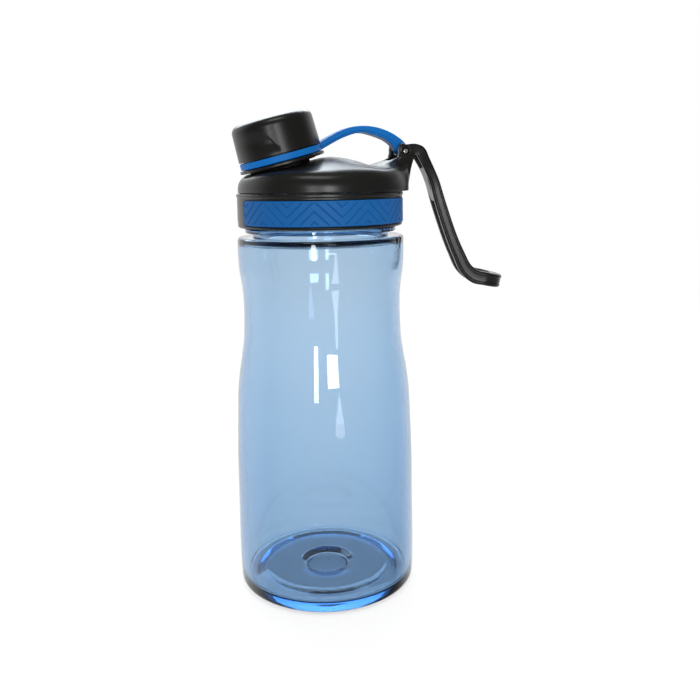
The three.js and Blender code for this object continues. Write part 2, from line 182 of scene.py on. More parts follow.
satinBlack = {"colour": (0.004, 0.0037, 0.0034, 1), "lighter": (0.0095, 0.0086, 0.0078, 1), "specular": 0.5,
              "rough": 0.31, "roughSpread": 0.12, "cloud": 55.0, "grainScale": 3400.0, "grain": 0.1,
              "grainDepth": 0.00004, "markScale": 420.0}
bandRubber = {"colour": (0.0015, 0.068, 0.235, 1), "lighter": (0.003, 0.1, 0.31, 1), "specular": 0.16,
              "rough": 0.46, "roughSpread": 0.1, "cloud": 60.0, "grainScale": 3200.0, "grain": 0.3,
              "grainDepth": 0.00003, "markScale": 500.0}
strapRubber = {"colour": (0.0, 0.105, 0.37, 1), "lighter": (0.001, 0.14, 0.45, 1), "specular": 0.14,
               "rough": 0.42, "roughSpread": 0.1, "cloud": 60.0, "grainScale": 3000.0, "grain": 0.25,
               "grainDepth": 0.00003, "markScale": 480.0}
sealSilicone = {"colour": (0.62, 0.65, 0.67, 1), "lighter": (0.74, 0.76, 0.77, 1), "specular": 0.5,
                "rough": 0.55, "roughSpread": 0.1, "cloud": 70.0, "grainScale": 2400.0, "grain": 0.2,
                "grainDepth": 0.00003, "markScale": 300.0}


# Clear plastic: the tint is in the volume, so a thick wall is deeper in colour.
def makeClearBlue(look):
    material, shader, place = startMaterial("clearBlue")
    swirl = place.node("Mapping", Vector=place, Scale=(1, 1, 0.35)).noise(look["swirlScale"], 2.0, 0.4)
    fine = place.noise(look["fineScale"], 3.0, 0.6)
    feed(place, shader, "Roughness", look["rough"] + fine.between(0.55, 0.8) * look["haze"])
    ripple = place.node("Bump", Strength=look["wave"], Distance=look["waveDepth"], Height=swirl)
    feed(place, shader, "Normal", ripple)
    shader.inputs["Base Color"].default_value = (1, 1, 1, 1)
    shader.inputs["Transmission Weight"].default_value = 1
    shader.inputs["IOR"].default_value = look["ior"]
    tree = material.node_tree
    tint = tree.nodes.new("ShaderNodeVolumeAbsorption")
    tint.inputs["Color"].default_value = look["tint"]
    tint.inputs["Density"].default_value = look["density"]
    output = next(n for n in tree.nodes if n.type == "OUTPUT_MATERIAL")
    tree.links.new(tint.outputs[0], output.inputs["Volume"])
    return material


clearBlue = {"swirlScale": 26.0, "fineScale": 900.0, "rough": 0.015, "haze": 0.03, "wave": 0.12,
             "waveDepth": 0.0004, "ior": 1.54, "tint": (0.09, 0.43, 0.7, 1), "density": 192.0}


def makeNickel():
    material, shader, place = startMaterial("nickel")
    shader.inputs["Base Color"].default_value = (0.78, 0.75, 0.7, 1)
    shader.inputs["Metallic"].default_value = 1
    turned = place.node("Mapping", Vector=place, Scale=(1, 0.1, 1)).noise(5200.0, 2.0)
    feed(place, shader, "Roughness", 0.18 + turned * 0.16)
    return material


materials = {"black": mouldedMaterial("satinBlack", satinBlack),
             "band": mouldedMaterial("bandRubber", bandRubber),
             "strap": mouldedMaterial("strapRubber", strapRubber),
             "silicone": mouldedMaterial("sealSilicone", sealSilicone),
             "clear": makeClearBlue(clearBlue), "nickel": makeNickel()}
print("materials made:", len(materials))


# Surfaces

def smoothStep(low, high, x):
    t = np.clip((x - low) / (high - low), 0, 1)
    return t * t * (3 - 2 * t)


# A curve through rows of numbers: cubic pieces whose slopes come from the points on each side.
def curve(rows, count):
    rows = np.array(rows, float)
    chord = np.linalg.norm(np.diff(rows[:, :2], axis=0), axis=1) ** 0.5
    knots = np.r_[0, np.cumsum(chord)]
    slope = np.gradient(rows, knots, axis=0)
    at = np.linspace(0, knots[-1], count)
    i = np.clip(np.searchsorted(knots, at, side="right") - 1, 0, len(knots) - 2)
    span = (knots[i + 1] - knots[i])[:, None]
    t = (at - knots[i])[:, None] / span
    a, b = rows[i], rows[i + 1]
    return (a * (1 + 2 * t) * (1 - t) ** 2 + slope[i] * span * t * (1 - t) ** 2
            + b * t * t * (3 - 2 * t) + slope[i + 1] * span * t * t * (t - 1))


# An outline of [r, z] or [r, z, fillet radius] corners as a dense line, each fillet an arc.
def filleted(corners, closed=True, step=12):
    points = np.array([c[:2] for c in corners], float)
    line = []
    for i, corner in enumerate(corners):
        radius = corner[2] if len(corner) > 2 else 0
        here = points[i]
        if radius == 0 or (not closed and i in (0, len(corners) - 1)):
            line.append(here[None])
            continue
        before, after = points[i - 1] - here, points[(i + 1) % len(corners)] - here
        lengths = np.linalg.norm(before), np.linalg.norm(after)
        before, after = before / lengths[0], after / lengths[1]
        half = math.acos(np.clip(before @ after, -1, 1)) / 2
        reach = min(radius / math.tan(half), 0.48 * min(lengths))
        radius = reach * math.tan(half)
        middle = here + (before + after) / np.linalg.norm(before + after) * radius / math.sin(half)
        first, last = here + before * reach - middle, here + after * reach - middle
        start = math.atan2(first[1], first[0])
        sweep = (math.atan2(last[1], last[0]) - start + math.pi) % (2 * math.pi) - math.pi
        angles = start + sweep * np.linspace(0, 1, max(2, math.ceil(abs(math.degrees(sweep)) / step)) + 1)
        ease = 0.15 * reach + 0.05
        line.append((here + before * min(reach + ease, lengths[0] * 0.5))[None])
        line.append(middle + radius * np.stack([np.cos(angles), np.sin(angles)], 1))
        line.append((here + after * min(reach + ease, lengths[1] * 0.5))[None])
    return np.concatenate(line)


# Adds points so that no stretch of a line between two heights is longer than step.
def refined(line, low, high, step):
    out = []
    for a, b in zip(line[:-1], line[1:]):
        inside = max(a[1], b[1]) > low and min(a[1], b[1]) < high
        count = max(1, math.ceil(np.linalg.norm(b - a) / step)) if inside else 1
        out.append(a + (b - a) * (np.arange(count) / count)[:, None])
    return np.concatenate(out + [line[-1:]])


# Quads over a grid of rows x columns of points, joined round where asked.
def gridQuads(rows, columns, joinRows, joinColumns):
    i = np.arange(rows if joinRows else rows - 1)[:, None]
    j = np.arange(columns if joinColumns else columns - 1)[None]
    up, right = (i + 1) % rows, (j + 1) % columns
    return np.stack(np.broadcast_arrays(i * columns + j, i * columns + right, up * columns + right,
                                        up * columns + j), -1).reshape(-1, 4)


# A line of [r, z] turned about Z. It closes on itself, or starts and ends on the axis.
# warp(theta, r, z) gives the radius that each point moves to.
def revolve(line, around=128, warp=None):
    poles = abs(line[0, 0]) < 1e-6 and abs(line[-1, 0]) < 1e-6
    body = line[1:-1] if poles else line
    theta = np.arange(around) * 2 * math.pi / around
    r, z = (np.repeat(body[:, k:k + 1], around, 1) for k in (0, 1))
    if warp:
        r = warp(np.broadcast_to(theta, r.shape), r, z)
    points = np.stack([r * np.cos(theta), r * np.sin(theta), z], -1).reshape(-1, 3)
    quads = gridQuads(len(body), around, not poles, True)
    if not poles:
        return points, quads, np.zeros((0, 3), int)
    tips = np.array([[0, 0, line[0, 1]], [0, 0, line[-1, 1]]])
    j, last = np.arange(around), (len(body) - 1) * around
    tip = np.full(around, len(points))
    triangles = np.concatenate([np.stack([tip, (j + 1) % around, j], 1),
                                np.stack([tip + 1, last + j, last + (j + 1) % around], 1)])
    return np.concatenate([points, tips]), quads, triangles


# Rings of points joined into a skin, with a fan over each end.
def loft(rings):
    count, around = rings.shape[:2]
    points = np.concatenate([rings.reshape(-1, 3), rings[:1].mean(1), rings[-1:].mean(1)])
    j, last = np.arange(around), (count - 1) * around
    tip = np.full(around, count * around)
    triangles = np.concatenate([np.stack([tip, (j + 1) % around, j], 1),
                                np.stack([tip + 1, last + j, last + (j + 1) % around], 1)])
    return points, gridQuads(count, around, False, True), triangles


# Height, from 0 to 1, of a screw thread's tooth at an angle and a height.
def tooth(theta, z, spec):
    rise = np.zeros_like(z)
    for k in range(math.ceil(spec["turns"]) + 1):
        turn = theta / (2 * math.pi) + k
        fade = np.clip(np.minimum(8 * turn, 8 * (spec["turns"] - turn)), 0, 1)
        off = np.abs(z - spec["start"] - spec["lead"] * turn)
        rise = np.maximum(rise, fade * smoothStep(spec["root"], spec["crest"], off))
    return rise


def smoothMin(a, b, k):
    h = np.clip(0.5 + 0.5 * (b - a) / k, 0, 1)
    return b * (1 - h) + a * h - k * h * (1 - h)


def smoothMax(a, b, k):
    return -smoothMin(-a, -b, k)


# Meshes the surface where field(x, y, z) is 0 and negative inside. Each grid cell that the surface
# crosses gets one point, each grid edge that it crosses one quad, and the points then settle on the surface.
def meshField(field, low, high, step):
    low, high = np.array(low, float), np.array(high, float)
    size = np.ceil((high - low) / step).astype(int) + 1
    axes = np.meshgrid(*(low[k] + step * np.arange(size[k]) for k in range(3)), indexing="ij")
    value = field(*axes)
    cells = tuple(size - 1)
    total, count, crossings = np.zeros(cells + (3,)), np.zeros(cells), []
    for axis in range(3):
        near = [slice(None)] * 3
        far = [slice(None)] * 3
        near[axis], far[axis] = slice(0, -1), slice(1, None)
        a, b = value[tuple(near)], value[tuple(far)]
        cut = (a < 0) != (b < 0)
        share = np.where(cut, a / np.where(cut, a - b, 1), 0)
        crossings.append((cut, a < 0))
        along = [share * step if k == axis else 0 for k in range(3)]
        spots = [np.where(cut, axes[k][tuple(near)] + along[k], 0) for k in range(3)]
        for p in (0, 1):
            for q in (0, 1):
                window = [slice(None)] * 3
                window[(axis + 1) % 3] = slice(p, size[(axis + 1) % 3] - 1 + p)
                window[(axis + 2) % 3] = slice(q, size[(axis + 2) % 3] - 1 + q)
                count += cut[tuple(window)]
                for k in range(3):
                    total[..., k] += spots[k][tuple(window)]
    number = np.full(cells, -1)
    number[count > 0] = np.arange((count > 0).sum())
    points = total[count > 0] / count[count > 0][:, None]
    quads = []
    for axis, (cut, outward) in enumerate(crossings):
        b, c = (axis + 1) % 3, (axis + 2) % 3
        at = np.stack(np.nonzero(cut), 1)
        at = at[(at[:, b] > 0) & (at[:, c] > 0) & (at[:, b] < size[b] - 1) & (at[:, c] < size[c] - 1)]
        ways = outward[tuple(at.T)]
        ring = []
        for p, q in ((1, 1), (0, 1), (0, 0), (1, 0)):
            cell = at.copy()
            cell[:, b] -= p
            cell[:, c] -= q
            ring.append(number[tuple(cell.T)])
        ring = np.stack(ring, 1)
        quads.append(np.where(ways[:, None], ring, ring[:, ::-1]))
    quads = np.concatenate(quads)
    for _ in range(3):
        edges = np.concatenate([quads[:, [0, 1]], quads[:, [1, 2]], quads[:, [2, 3]], quads[:, [3, 0]]])
        weight = np.bincount(edges[:, 0], minlength=len(points))
        mean = np.stack([np.bincount(edges[:, 0], points[edges[:, 1], k], len(points)) for k in range(3)], 1)
        points = 0.5 * points + 0.5 * mean / weight[:, None]
        points = settle(field, points)
    return settle(field, points), quads, np.zeros((0, 3), int)


# One step towards the surface along the field's slope.
def settle(field, points):
    reach = 0.04
    shift = np.eye(3) * reach
    slope = np.stack([field(*(points + s).T) - field(*(points - s).T) for s in shift], 1) / (2 * reach)
    off = field(*points.T)[:, None]
    move = off * slope / np.maximum((slope ** 2).sum(1), 0.05)[:, None]
    return points - np.clip(move, -0.3, 0.3)


# Carries points modelled about Z, at heights along the spout's axis, to the leaning spout.
def leaned(parts):
    up = spoutAxis / np.linalg.norm(spoutAxis)
    across = np.array([up[2], 0, -up[0]])
    points, quads, triangles = parts
    return points @ np.stack([across, [0, 1, 0], up]) + spoutFoot, quads, triangles


# Coordinates about the leaning spout of points given in the frame.
def fromSpout(x, y, z):
    up = spoutAxis / np.linalg.norm(spoutAxis)
    dx, dz = x - spoutFoot[0], z - spoutFoot[2]
    return dx * up[2] - dz * up[0], y, dx * up[0] + dz * up[2]


# Makes one visible piece, turned outwards, that rides on a body and replaces a node of the frame.
def makePiece(name, parts, material, body, node):
    points, quads, triangles = parts
    a, b, c = points[quads[:, 0]], points[quads[:, 1]], points[quads[:, 2]]
    volume = (a * np.cross(b, c)).sum() + (a * np.cross(c, points[quads[:, 3]])).sum()
    if len(triangles):
        a, b, c = (points[triangles[:, k]] for k in range(3))
        volume += (a * np.cross(b, c)).sum()
    if volume < 0:
        quads, triangles = quads[:, ::-1], triangles[:, ::-1]
    corners = np.concatenate([quads.ravel(), triangles.ravel()]).astype(np.int32)
    starts = np.concatenate([np.arange(len(quads)) * 4, len(quads) * 4 + np.arange(len(triangles)) * 3])
    mesh = bpy.data.meshes.new(name)
    mesh.vertices.add(len(points))
    mesh.vertices.foreach_set("co", (points * mm).astype(np.float32).ravel())
    mesh.loops.add(len(corners))
    mesh.loops.foreach_set("vertex_index", corners)
    mesh.polygons.add(len(starts))
    mesh.polygons.foreach_set("loop_start", starts.astype(np.int32))
    mesh.update(calc_edges=True)
    mesh.validate()
    mesh.shade_smooth()
    obj = bpy.data.objects.new(name, mesh)
    scene.collection.objects.link(obj)
    obj.data.materials.append(materials[material])
    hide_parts(node)
    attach(obj, body)
    print(name, len(quads) * 2 + len(triangles), "triangles")


# Bottle: base corner, waisted side and shoulder outside, a wall that thickens downwards, then the neck
# with its bead and thread

bottle = {
    "side": [[43.6, 3.2], [43.85, 8], [44.1, 15], [44.05, 42], [43.95, 68], [43.4, 84], [42.95, 96],
             [41.95, 106], [40.35, 116], [39.25, 124], [38.9, 131], [38.7, 138], [38.75, 144], [39.25, 150.5],
             [40.2, 156.5], [40.7, 162], [40.85, 168], [40.8, 171]],
    "wallTop": 2.5, "wallBottom": 3.4, "neck": 33.2, "bore": 30.4, "neckTop": 193, "shoulder": 174,
    "thread": {"turns": 1.15, "lead": 6, "start": 181.7, "root": 1.4, "crest": 0.55, "height": 1.4}}


def makeBottle(b):
    side = curve(b["side"], 110)
    wall = b["wallBottom"] + (b["wallTop"] - b["wallBottom"]) * smoothStep(20, 160, side[:, 1])
    inner = np.stack([side[:, 0] - wall, side[:, 1]], 1)
    inner = inner[(inner[:, 1] > 9) & (inner[:, 1] < 169)][::-1]
    foot = filleted([[0, 0], [10.4, 0, 0.5], [11.8, 2.6, 0.9], [31.2, 2.6, 3.5], [35.8, 0, 3], [40.6, 0, 3.2],
                     [43.2, 1.9, 2.4], side[0]], closed=False)
    top = filleted([side[-1], [40.8, b["shoulder"], 1.6], [b["neck"], b["shoulder"], 0.6],
                    [b["neck"], 176.2, 0.3], [37, 176.3, 0.4], [37, 178.3, 0.4], [b["neck"], 178.4, 0.3],
                    [b["neck"], b["neckTop"], 0.6], [b["bore"], b["neckTop"], 0.6], [b["bore"], 172.1, 1.0],
                    [37.9, 172, 2.4], inner[0]], closed=False)
    floor = filleted([inner[-1], [40.2, 5, 4], [35.6, 5.6, 8], [31, 7, 9], [13.4, 7, 2.2], [10, 5.2, 2],
                      [0, 4.9]], closed=False)
    line = np.concatenate([foot[:-1], side[:-1], refined(top, 179, 192, 0.35)[:-1], inner[:-1], floor])
    thread = b["thread"]

    def threaded(theta, r, z):
        onNeck = (np.abs(r - b["neck"]) < 0.05) & (z > 178.6)
        return r + onNeck * thread["height"] * tooth(theta, z, thread)

    makePiece("bottle", revolve(line, 192, threaded), "clear", "bottle", "bottle_body")


makeBottle(bottle)
sealOutline = filleted([[30.9, 193.3, 0.3], [34.9, 193.3, 0.3], [34.9, 195, 0.3], [30.9, 195, 0.3]])
makePiece("neckSeal", revolve(sealOutline), "silicone", "neck_seal", "neck_seal")


# Collar: a threaded ring with a pocket each side for the grip bands

collar = {"radius": 40.4, "bottom": 178.8, "top": 195, "bore": 35.7, "pocketDepth": 1.5,
          "bandBottom": 180.4, "bandTop": 192.1, "bandHalfAngle": 76, "bandCorner": 2.6, "slack": 0.15,
          "thread": {"turns": 1.15, "lead": 6, "start": 179.85, "root": 1.2, "crest": 0.5, "height": 2.0}}


# Distance outside the band's rounded outline at an angle and a height, negative within it.
def bandEdge(theta, z, c, grow):
    off = np.abs((theta + math.pi) % math.pi - math.pi / 2)
    u = off * c["radius"] - (math.radians(c["bandHalfAngle"]) * c["radius"] + grow) + c["bandCorner"]
    half = (c["bandTop"] - c["bandBottom"]) / 2
    v = np.abs(z - c["bandBottom"] - half) - (half + grow) + c["bandCorner"]
    return np.hypot(np.maximum(u, 0), np.maximum(v, 0)) + np.minimum(np.maximum(u, v), 0) - c["bandCorner"]


def makeCollar(c):
    outside = filleted([[c["bore"], c["bottom"], 0.5], [c["radius"] - 0.2, c["bottom"], 1.0],
                        [c["radius"], c["top"] - 1.7, 0.5], [c["radius"] + 0.35, c["top"] - 1.3, 0.3],
                        [c["radius"] + 0.35, c["top"], 0.5], [c["bore"], c["top"], 0.3]])
    line = refined(np.concatenate([outside, outside[:1]]), c["bottom"] + 0.6, c["top"] - 2, 0.22)[:-1]

    def shaped(theta, r, z):
        pocket = 1 - smoothStep(-0.12, 0.12, bandEdge(theta, z, c, c["slack"]))
        outer = r > 38
        inner = (np.abs(r - c["bore"]) < 0.05) & (z > c["bottom"] + 0.7)
        thread = inner * c["thread"]["height"] * tooth(theta, z, c["thread"])
        return r - outer * pocket * c["pocketDepth"] - thread

    makePiece("gripCollar", revolve(line, 720, shaped), "black", "lid", "grip_collar")


makeCollar(collar)


# Grip bands: a raised border round nested chevron grooves

chevrons = {"halfPeriod": 18, "rise": 11.8, "spacing": 4.5, "peak": 187.3, "width": 0.42, "depth": 0.4,
            "border": 0.75, "slant": 0.73, "proud": 0.22, "bevel": 0.45, "bevelReach": 0.5}


def makeBand(name, node, heading):
    c, v = collar, chevrons
    reach = math.radians(c["bandHalfAngle"])
    share = np.linspace(-1, 1, 760)
    angle = reach * share
    half = (c["bandTop"] - c["bandBottom"]) / 2
    nearEnd = np.clip((np.abs(angle) - reach) * c["radius"] + c["bandCorner"], 0, c["bandCorner"])
    high = half - c["bandCorner"] + np.sqrt(np.maximum(c["bandCorner"] ** 2 - nearEnd ** 2, 0))
    t = np.sin(np.linspace(-1, 1, 84) * math.pi / 2) * 0.25 + np.linspace(-1, 1, 84) * 0.75
    z = (c["bandBottom"] + half) + high[:, None] * t[None]
    theta = np.repeat((heading + angle)[:, None], len(t), 1)
    edge = -bandEdge(theta, z, c, 0)
    period = math.radians(v["halfPeriod"])
    wave = np.abs((np.abs(angle) / period) % 2 - 1)[:, None]     # 1 at the middle, 0 at the next apex
    height = z - v["peak"] + v["rise"] * wave
    groove = np.abs((height + v["spacing"] / 2) % v["spacing"] - v["spacing"] / 2) * v["slant"]
    cutHere = smoothStep(v["border"], v["border"] + 0.3, edge)
    relief = -v["depth"] * cutHere * (1 - smoothStep(0.05, v["width"], groove))
    fromEdge = 1 - np.clip(edge / v["bevelReach"], 0, 1)
    bevel = v["bevel"] * (1 - np.sqrt(np.clip(1 - fromEdge ** 2, 0, 1)))
    r = c["radius"] + v["proud"] + relief - bevel
    front = np.stack([r * np.cos(theta), r * np.sin(theta), z], -1)
    inside = c["radius"] - c["pocketDepth"] + 0.2
    rows = [0, len(t) // 2, -1]
    turn = theta[:, rows]
    back = np.stack([inside * np.cos(turn), inside * np.sin(turn), z[:, rows]], -1)[:, ::-1]
    makePiece(name, loft(np.concatenate([front, back], 1)), "band", "lid", node)


makeBand("gripBandFront", "grip_band_front", -math.pi / 2)
makeBand("gripBandRear", "grip_band_rear", math.pi / 2)


# Lid dome: a crowned top that sweeps up through a flared horn to the two hinge ears

dome = {"radius": 39.9, "bulge": 2.5, "bottom": 195.3, "brow": 203.3, "crownHalf": 41, "shoulder": 6.0,
        "crest": [[-46, 201.6], [-39, 203.0], [-33.2, 204.5], [-18, 207.6], [-4, 210.8], [3, 212.2],
                  [8.5, 212.1], [15.7, 210.5], [20.9, 208.6], [26, 207.6], [34, 207.4], [46, 205]],
        "horn": [[198, 16, 25.5, 27], [200.5, 21.5, 21.2, 22], [203, 27, 16.6, 17.5],
                 [205.5, 32, 12.4, 13.5], [208, 36.3, 8.8, 10.8], [210.5, 40, 5.6, 9.2],
                 [212, 42.4, 3.6, 8.6]],
        "hornPower": 2.6, "hornBlend": 4.5,
        "ear": [[31, 204], [34, 206.6], [37.2, 209.2], [38.9, 211.6], [38.7, 215.8], [39, 217.5],
                [40.2, 218.5], [43.3, 217.8], [45, 216.4], [46.8, 213.6], [46.5, 212.2], [44.7, 207.2],
                [42.7, 202.2], [41.3, 197], [31, 197]],
        "earHalf": 8.6, "earBlend": 2.6, "slotHalf": 5.9, "slotFloor": 209.3, "slotBack": 34,
        "pin": 1.45, "pinRecess": 1.85, "recessDepth": 0.7,
        "cavity": 30.2, "ceiling": [[0, 203.6], [22, 203.6], [28, 202.4], [30.2, 200.4]],
        "spoutHole": 13.5, "spoutHoleDepth": 17}


# Signed distance in the middle plane to a closed outline, negative inside.
def outlineField(corners, x, z):
    corners = np.array(corners, float)
    best = np.full(x.shape, 1e9)
    inside = np.zeros(x.shape, bool)
    for a, b in zip(corners, np.roll(corners, -1, 0)):
        e = b - a
        t = np.clip(((x - a[0]) * e[0] + (z - a[1]) * e[1]) / (e @ e), 0, 1)
        best = np.minimum(best, np.hypot(x - a[0] - t * e[0], z - a[1] - t * e[1]))
        crosses = (a[1] > z) != (b[1] > z)
        inside ^= crosses & (x < a[0] + (z - a[1]) * e[0] / (e[1] if e[1] else 1e-9))
    return np.where(inside, -best, best)


def domeField(x, y, z):
    d = dome
    r = np.hypot(x, y)
    rim = d["radius"] + d["bulge"] * smoothStep(0.3, 1, x / np.maximum(r, 1e-6))
    crest = np.interp(x, crestLine[:, 0], crestLine[:, 1])
    top = d["brow"] + (crest - d["brow"]) * np.clip(1 - (y / d["crownHalf"]) ** 2, 0, 1)
    body = smoothMax(r - rim, (z - top) * 0.96, d["shoulder"])
    levels = np.array(d["horn"])
    middle, half, wide = (np.interp(z, levels[:, 0], levels[:, k]) for k in (1, 2, 3))
    power = d["hornPower"]
    shell = (np.abs((x - middle) / half) ** power + np.abs(y / wide) ** power + 1e-9) ** (1 / power)
    horn = smoothMax((shell - 1) * np.minimum(half, wide) * 0.7, z - levels[-1, 0], 0.6)
    body = smoothMin(body, horn, d["hornBlend"])
    ear = smoothMax(outlineField(d["ear"], x, z), np.abs(y) - d["earHalf"], 0.9)
    body = smoothMin(body, ear, d["earBlend"])
    slot = np.maximum(np.maximum(np.abs(y) - d["slotHalf"], d["slotBack"] - x), d["slotFloor"] - z)
    body = smoothMax(body, -slot, 0.6)
    aside = np.hypot(x - hinge[0], z - hinge[2])
    recess = np.maximum(aside - d["pinRecess"], d["earHalf"] - d["recessDepth"] - np.abs(y))
    body = smoothMax(body, -np.minimum(aside - d["pin"], recess), 0.2)
    ceiling = np.interp(r, *np.array(d["ceiling"]).T)
    body = smoothMax(body, -smoothMax(r - d["cavity"], z - ceiling, 0.8), 0.4)
    sx, sy, s = fromSpout(x, y, z)
    through = np.maximum(np.hypot(sx, sy) - d["spoutHole"], np.maximum(-d["spoutHoleDepth"] - s, s))
    body = smoothMax(body, -through, 0.3)
    return smoothMax(body, d["bottom"] - z, 0.5)


crestLine = curve(dome["crest"], 200)
domeParts = meshField(domeField, (-41.5, -41.5, 194.5), (48.5, 41.5, 220), 0.42)
makePiece("lidDome", domeParts, "black", "lid", "lid_dome")


# Spout, cap and tether ring stand on the leaning axis, with heights measured from the cap's lower edge

spout = {"bore": 10.9, "tube": 13.1, "flange": 20.8, "top": 9,
         "thread": {"turns": 1.3, "lead": 3, "start": 1.4, "root": 0.85, "crest": 0.3, "height": 0.7}}


def makeSpout(s):
    line = filleted([[s["bore"], -10, 0.3], [s["tube"], -10, 0.3], [s["tube"], -5.6], [16.2, -5.6, 0.2],
                     [16.5, -5.05], [s["flange"], -5, 0.35], [s["flange"], -3.6, 0.35],
                     [s["tube"], -3.6, 0.5],
                     [s["tube"], s["top"], 0.7], [s["bore"], s["top"], 0.7]])
    line = refined(np.concatenate([line, line[:1]]), 0, 8, 0.25)[:-1]

    def threaded(theta, r, z):
        onTube = (np.abs(r - s["tube"]) < 0.05) & (z > -3)
        return r + onTube * s["thread"]["height"] * tooth(theta, z, s["thread"])

    makePiece("spout", leaned(revolve(line, 160, threaded)), "black", "lid", "spout")


cap = {"radius": 20.2, "height": 17.8, "fillet": 3.9, "draft": 0.6, "scoops": 2, "scoopDepth": 1.15,
       "scoopHeading": -90, "scoopRun": 78,
       "crease": [[-33.6, 12.9], [-27.2, 11.4], [-21.2, 9.5], [-15.0, 6.2], [-8.3, 3.0]],
       "thread": {"turns": 1.1, "lead": 3, "start": 4.6, "root": 0.85, "crest": 0.3, "height": 0.8}}


def makeCap(c):
    shell = filleted([[0, 16], [15.4, 16, 2.4], [18.2, 13.6, 2], [18.4, 0.3, 0.15], [c["radius"], 0.3, 0.35],
                      [c["radius"] - c["draft"], c["height"], c["fillet"]], [0, c["height"]]],
                     closed=False, step=8)
    shell = refined(shell, 0.5, 14.5, 0.25)
    crease = curve(c["crease"], 60)[::-1]

    # Each scoop is deepest just before its crease and runs out to nothing most of a quarter turn back.
    def scooped(theta, r, z):
        edge = np.interp(z, crease[:, 1], crease[:, 0])
        between = 360 / c["scoops"]
        back = between - (np.degrees(theta) - c["scoopHeading"] - edge) % between
        depth = smoothStep(0, 1.6, back) * (1 - smoothStep(2, c["scoopRun"], back)) * c["scoopDepth"]
        level = smoothStep(1.2, 6.4, z) * (1 - smoothStep(6.8, 13.6, z))
        onWall = (r > 18.9) & (z > 0.6)
        return r - onWall * depth * level

    makePiece("capShell", leaned(revolve(shell, 480, scooped)), "black", "cap", "cap_shell")
    insert = filleted([[16.9, -3.3, 0.2], [17.9, -3.3, 0.2], [17.9, -2.2], [18.4, -1.9, 0.15],
                       [18.4, -1.3, 0.15], [17.9, -1], [17.9, 0.3], [18.1, 0.8], [18.1, 11.8, 0.5],
                       [0, 11.8]], closed=False)
    inside = filleted([[0, 10.5], [16.5, 10.5, 0.5], [16.5, 0.4], [16.9, -0.4], [16.9, -3.3, 0.2]],
                      closed=False)
    line = refined(np.concatenate([inside[:-1], insert]), 3, 10, 0.25)

    def threaded(theta, r, z):
        onBore = (np.abs(r - 16.5) < 0.05) & (z > 2)
        return r - onBore * c["thread"]["height"] * tooth(theta, z, c["thread"])

    makePiece("capInsert", leaned(revolve(line, 160, threaded)), "black", "cap", "cap_insert")
    seal = filleted([[0, 9.3], [15.6, 9.3, 0.25], [15.6, 10.2, 0.25], [0, 10.2]], closed=False)
    makePiece("capSeal", leaned(revolve(seal)), "silicone", "cap", "cap_seal")


makeSpout(spout)
makeCap(cap)


# Tether: a ring round the cap's foot and an arched strap to the hinge

tether = {"ringHeight": 3.2, "ringRadius": 20.05,
          "upper": [[-1.6, 217.6], [0.84, 219.9], [7.1, 223.4], [14.4, 226.3], [22.9, 227.1], [31.4, 225.7],
                    [38.9, 222.4], [43.6, 218.7], [45.3, 215.4]],
          "lower": [[-1.2, 214.6], [1.6, 216.4], [10.2, 220.9], [17.5, 223.4], [22.9, 223.75], [31.3, 221.3],
                    [36.4, 218.3], [38.8, 215.2], [41.6, 212.4]],
          "half": [4.8, 4.8, 4.8, 4.8, 4.8, 4.2, 3.5, 3.3, 3.3]}


def makeTether(t):
    ring = filleted([[18.2, -t["ringHeight"], 0.2], [t["ringRadius"], -t["ringHeight"], 0.45],
                     [t["ringRadius"], -0.1, 0.45], [18.2, -0.1, 0.15], [18.2, -0.7], [18.75, -1],
                     [18.75, -2.2], [18.2, -2.5]])
    makePiece("tetherRing", leaned(revolve(ring, 192)), "strap", "tether", "tether_strap")
    rows = np.concatenate([t["upper"], t["lower"], np.array(t["half"])[:, None]], 1)
    rows = curve(rows, 130)
    section = filleted([[-1, 1, 0.13], [1, 1, 0.13], [1, 0.34, 0.04], [0.93, 0.28, 0.03], [0.93, 0, 0.1],
                        [-0.93, 0, 0.1], [-0.93, 0.28, 0.03], [-1, 0.34, 0.04]])
    across, up = section[:, 0], section[:, 1]
    rings = np.stack([rows[:, None, 2] * (1 - up) + rows[:, None, 0] * up, rows[:, None, 4] * across,
                      rows[:, None, 3] * (1 - up) + rows[:, None, 1] * up], -1)
    makePiece("tetherArch", loft(rings), "strap", "tether", "tether_strap")


makeTether(tether)


# Hinge pin, with domed ends

pin = {"radius": 1.25, "half": 8.2}


def makePin(p):
    line = filleted([[0, -p["half"]], [p["radius"], -p["half"], 0.35], [p["radius"], p["half"], 0.35],
                     [0, p["half"]]], closed=False)
    points, quads, triangles = revolve(line, 48)
    points = points[:, [1, 2, 0]] + [hinge[0], 0, hinge[2]]
    makePiece("hingePin", (points, quads, triangles), "nickel", "lid", "hinge_pin")


makePin(pin)


# Carry loop: two arms from the hinge cheeks, joined by a web near the top and a round end

loop = {"arm": [[42.2, 214.7, 4.6, 0.9, 6.4], [45.2, 215.4, 4.6, 0.9, 5.6], [48.3, 215.8, 4.6, 0.9, 5],
                [51.6, 214.2, 4.75, 1, 5.4], [54, 210.2, 5.3, 1.3, 5], [56.4, 205.2, 6.2, 1.7, 4.8],
                [58.7, 199.4, 7, 2, 4.9], [61.5, 189.2, 7.4, 2.2, 5.4], [66.8, 172.3, 7.4, 2.3, 5.7],
                [70.6, 162.6, 7.3, 2.4, 6.1], [74.3, 155, 7.3, 2.4, 6.6], [78.6, 151.2, 7.3, 2.5, 7],
                [83.2, 150, 7.3, 2.7, 6.8]],
        "web": [[59.2, 189.2, 0.8], [63, 190.2, 0.8], [59.7, 199.8], [56.4, 207.8, 0.8], [53.6, 206.4, 0.8],
                [56.1, 198.6]], "webReach": (-6.4, 5),
        "turn": 0.2586, "turnFrom": 51, "turnEase": 3, "squareness": 0.45, "channel": 0.35}


